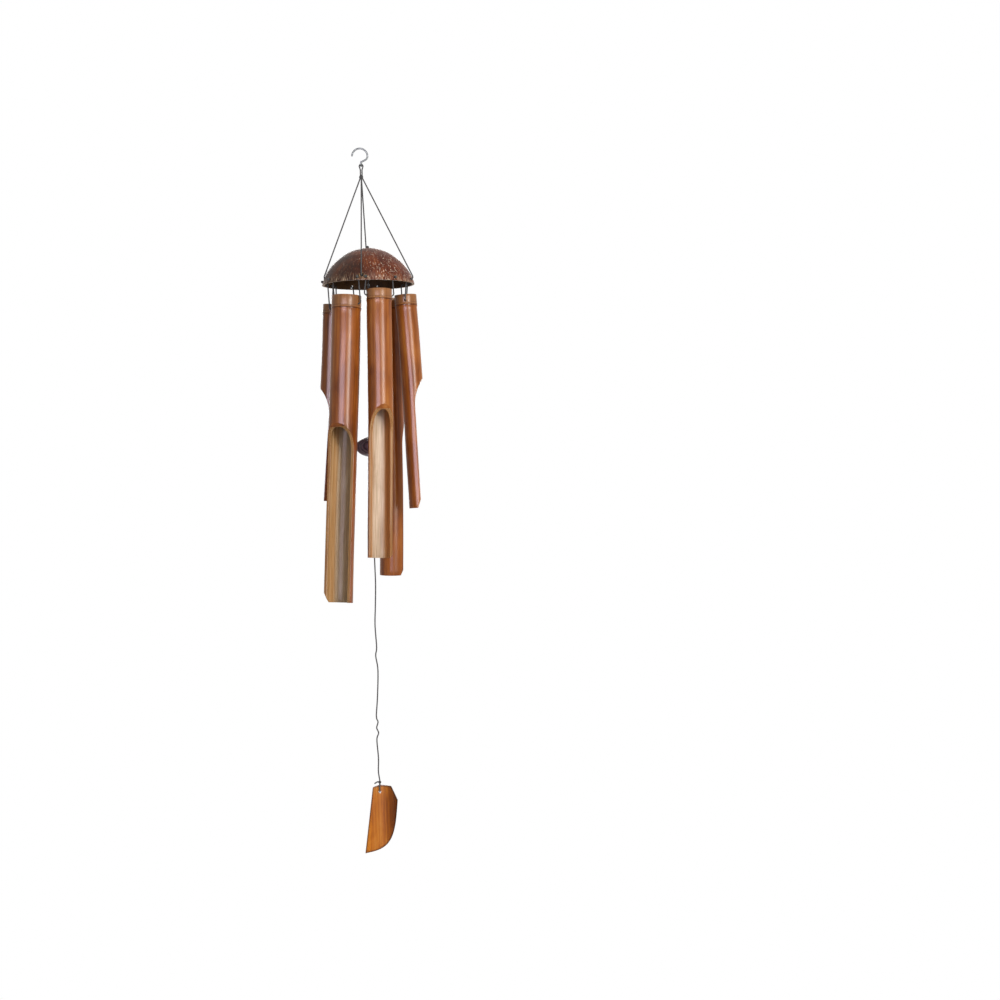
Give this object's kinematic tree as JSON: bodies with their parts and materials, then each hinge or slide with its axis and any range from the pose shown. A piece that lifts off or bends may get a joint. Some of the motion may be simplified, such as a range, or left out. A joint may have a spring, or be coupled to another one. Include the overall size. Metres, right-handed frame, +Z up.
{
  "type": "bamboo wind chime",
  "caption": "Hanging wind chime: cut-away bamboo tubes under a half coconut shell, with a wire hook, corded wooden clapper and bamboo wind sail.",
  "frame": {"origin": "inner crown of the wire hook, where it bears on what it hangs from", "axes": "+Z up along the plumb line, -Y the front that the picture shows, +X to its right"},
  "size_m": [0.1406, 0.1556, 0.9576],
  "materials": {
    "steel_wire": "dull drawn wire",
    "cord": "twisted dark grey cord",
    "coconut": "scraped and varnished shell",
    "bamboo": "varnished, orange brown",
    "clapper_wood": "dark stained wood"
  },
  "bodies": {
    "hook": {"hook": "steel_wire"},
    "hang_loop": {"hang_loop": "cord"},
    "hang_knot": {"hang_knot": "cord"},
    "canopy": {"coconut_shell": "coconut", "suspension_cord_left": "cord", "suspension_cord_front": "cord", "suspension_cord_right": "cord", "suspension_cord_back": "cord"},
    "tube_1": {"bamboo_tube_1": "bamboo", "tube_cord_1": "cord"},
    "tube_2": {"bamboo_tube_2": "bamboo", "tube_cord_2": "cord"},
    "tube_3": {"bamboo_tube_3": "bamboo", "tube_cord_3": "cord"},
    "tube_4": {"bamboo_tube_4": "bamboo", "tube_cord_4": "cord"},
    "tube_5": {"bamboo_tube_5": "bamboo", "tube_cord_5": "cord"},
    "tube_6": {"bamboo_tube_6": "bamboo", "tube_cord_6": "cord"},
    "crown_loop": {"crown_loop": "cord"},
    "clapper": {"clapper": "clapper_wood", "clapper_cord": "cord"},
    "sail_cord": {"sail_cord": "cord"},
    "sail_knot": {"sail_knot": "cord"},
    "sail": {"sail": "bamboo"}
  },
  "joints": [
    {"name": "hang_swing", "type": "hinge", "parent": "hook", "child": "hang_loop", "pos_m": [0.00135, 0.0032, -0.02236], "axis": [0, 1, 0], "range_deg": [-20, 20]},
    {"name": "hang_twist", "type": "hinge", "parent": "hang_loop", "child": "hang_knot", "pos_m": [0.00135, 0.0032, -0.03736], "axis": [0, 0, 1], "range_deg": [-60, 60]},
    {"name": "canopy_sway", "type": "hinge", "parent": "hang_knot", "child": "canopy", "pos_m": [0.00135, 0.0032, -0.03736], "axis": [1, 0, 0], "range_deg": [-20, 20]},
    {"name": "tube_1_swing", "type": "hinge", "parent": "canopy", "child": "tube_1", "pos_m": [-0.05245, 0.01397, -0.179], "axis": [0.1564, 0.9877, 0], "range_deg": [-1, 12]},
    {"name": "tube_2_swing", "type": "hinge", "parent": "canopy", "child": "tube_2", "pos_m": [-0.02352, -0.04489, -0.179], "axis": [-0.848, 0.5299, 0], "range_deg": [-1, 12]},
    {"name": "tube_3_swing", "type": "hinge", "parent": "canopy", "child": "tube_3", "pos_m": [0.02793, -0.05113, -0.179], "axis": [-0.9379, -0.3469, 0], "range_deg": [-1, 12]},
    {"name": "tube_4_swing", "type": "hinge", "parent": "canopy", "child": "tube_4", "pos_m": [0.06735, 0.0045, -0.179], "axis": [0, -1, 0], "range_deg": [-1, 12]},
    {"name": "tube_5_swing", "type": "hinge", "parent": "canopy", "child": "tube_5", "pos_m": [0.03713, 0.05526, -0.179], "axis": [0.8625, -0.506, 0], "range_deg": [-1, 12]},
    {"name": "tube_6_swing", "type": "hinge", "parent": "canopy", "child": "tube_6", "pos_m": [-0.03326, 0.0496, -0.179], "axis": [0.7431, 0.6691, 0], "range_deg": [-1, 12]},
    {"name": "clapper_sway", "type": "hinge", "parent": "canopy", "child": "crown_loop", "pos_m": [0.00735, 0.0045, -0.13266], "axis": [0, -1, 0], "range_deg": [-3, 3]},
    {"name": "clapper_swing", "type": "hinge", "parent": "crown_loop", "child": "clapper", "pos_m": [0.00735, 0.0045, -0.15236], "axis": [-1, 0, 0], "range_deg": [-3, 3]},
    {"name": "sail_cord_swing", "type": "hinge", "parent": "clapper", "child": "sail_cord", "pos_m": [0.00735, 0.0045, -0.42076], "axis": [-1, 0, 0], "range_deg": [-10, 10]},
    {"name": "sail_turn", "type": "hinge", "parent": "sail_cord", "child": "sail_knot", "pos_m": [0.00735, 0.0045, -0.86066], "axis": [0, 0, 1], "range_deg": [-90, 90]},
    {"name": "sail_rock", "type": "hinge", "parent": "sail_knot", "child": "sail", "pos_m": [0.00735, 0.0045, -0.87366], "axis": [0, 1, 0], "range_deg": [-20, 20]}
  ]
}
